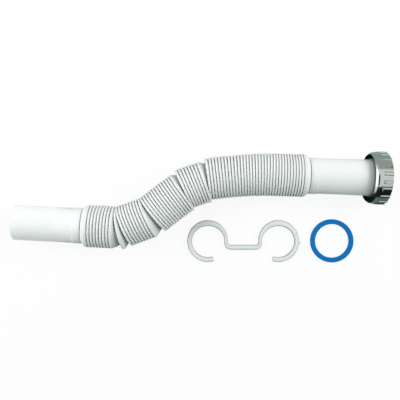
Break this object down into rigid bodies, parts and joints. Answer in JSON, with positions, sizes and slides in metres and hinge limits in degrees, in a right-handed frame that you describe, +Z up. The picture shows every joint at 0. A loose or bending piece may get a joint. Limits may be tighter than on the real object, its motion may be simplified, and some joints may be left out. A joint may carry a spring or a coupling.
{
  "type": "flexible sink waste connector",
  "caption": "Bent white bellows waste pipe with a plain spigot, a flanged cuff and chrome slip nut, with its blue sealing washer and double support clip beside it.",
  "frame": {"origin": "on the floor under the middle of the footprint of the laid-out set", "axes": "+X from the spigot end to the nut end, +Y across the set away from the loose washer and clip, +Z up from the floor"},
  "size_m": [0.4038, 0.1238, 0.0576],
  "materials": {
    "white_plastic": "white polypropylene, satin gloss from the mould",
    "dark_chrome": "bright chrome plating that reflects dark surroundings",
    "blue_rubber": "smooth blue elastomer",
    "clear_plastic": "natural, slightly see-through polypropylene"
  },
  "bodies": {
    "root": {"bellows_hose": "white_plastic", "sealing_washer": "blue_rubber", "support_clip": "clear_plastic"},
    "nut": {"slip_nut": "dark_chrome"}
  },
  "joints": [
    {"name": "nut_turn", "type": "hinge", "parent": "root", "child": "nut", "pos_m": [0.18308, 0.03336, 0.0288], "axis": [0.9995, -0.0332, 0], "continuous": true}
  ]
}
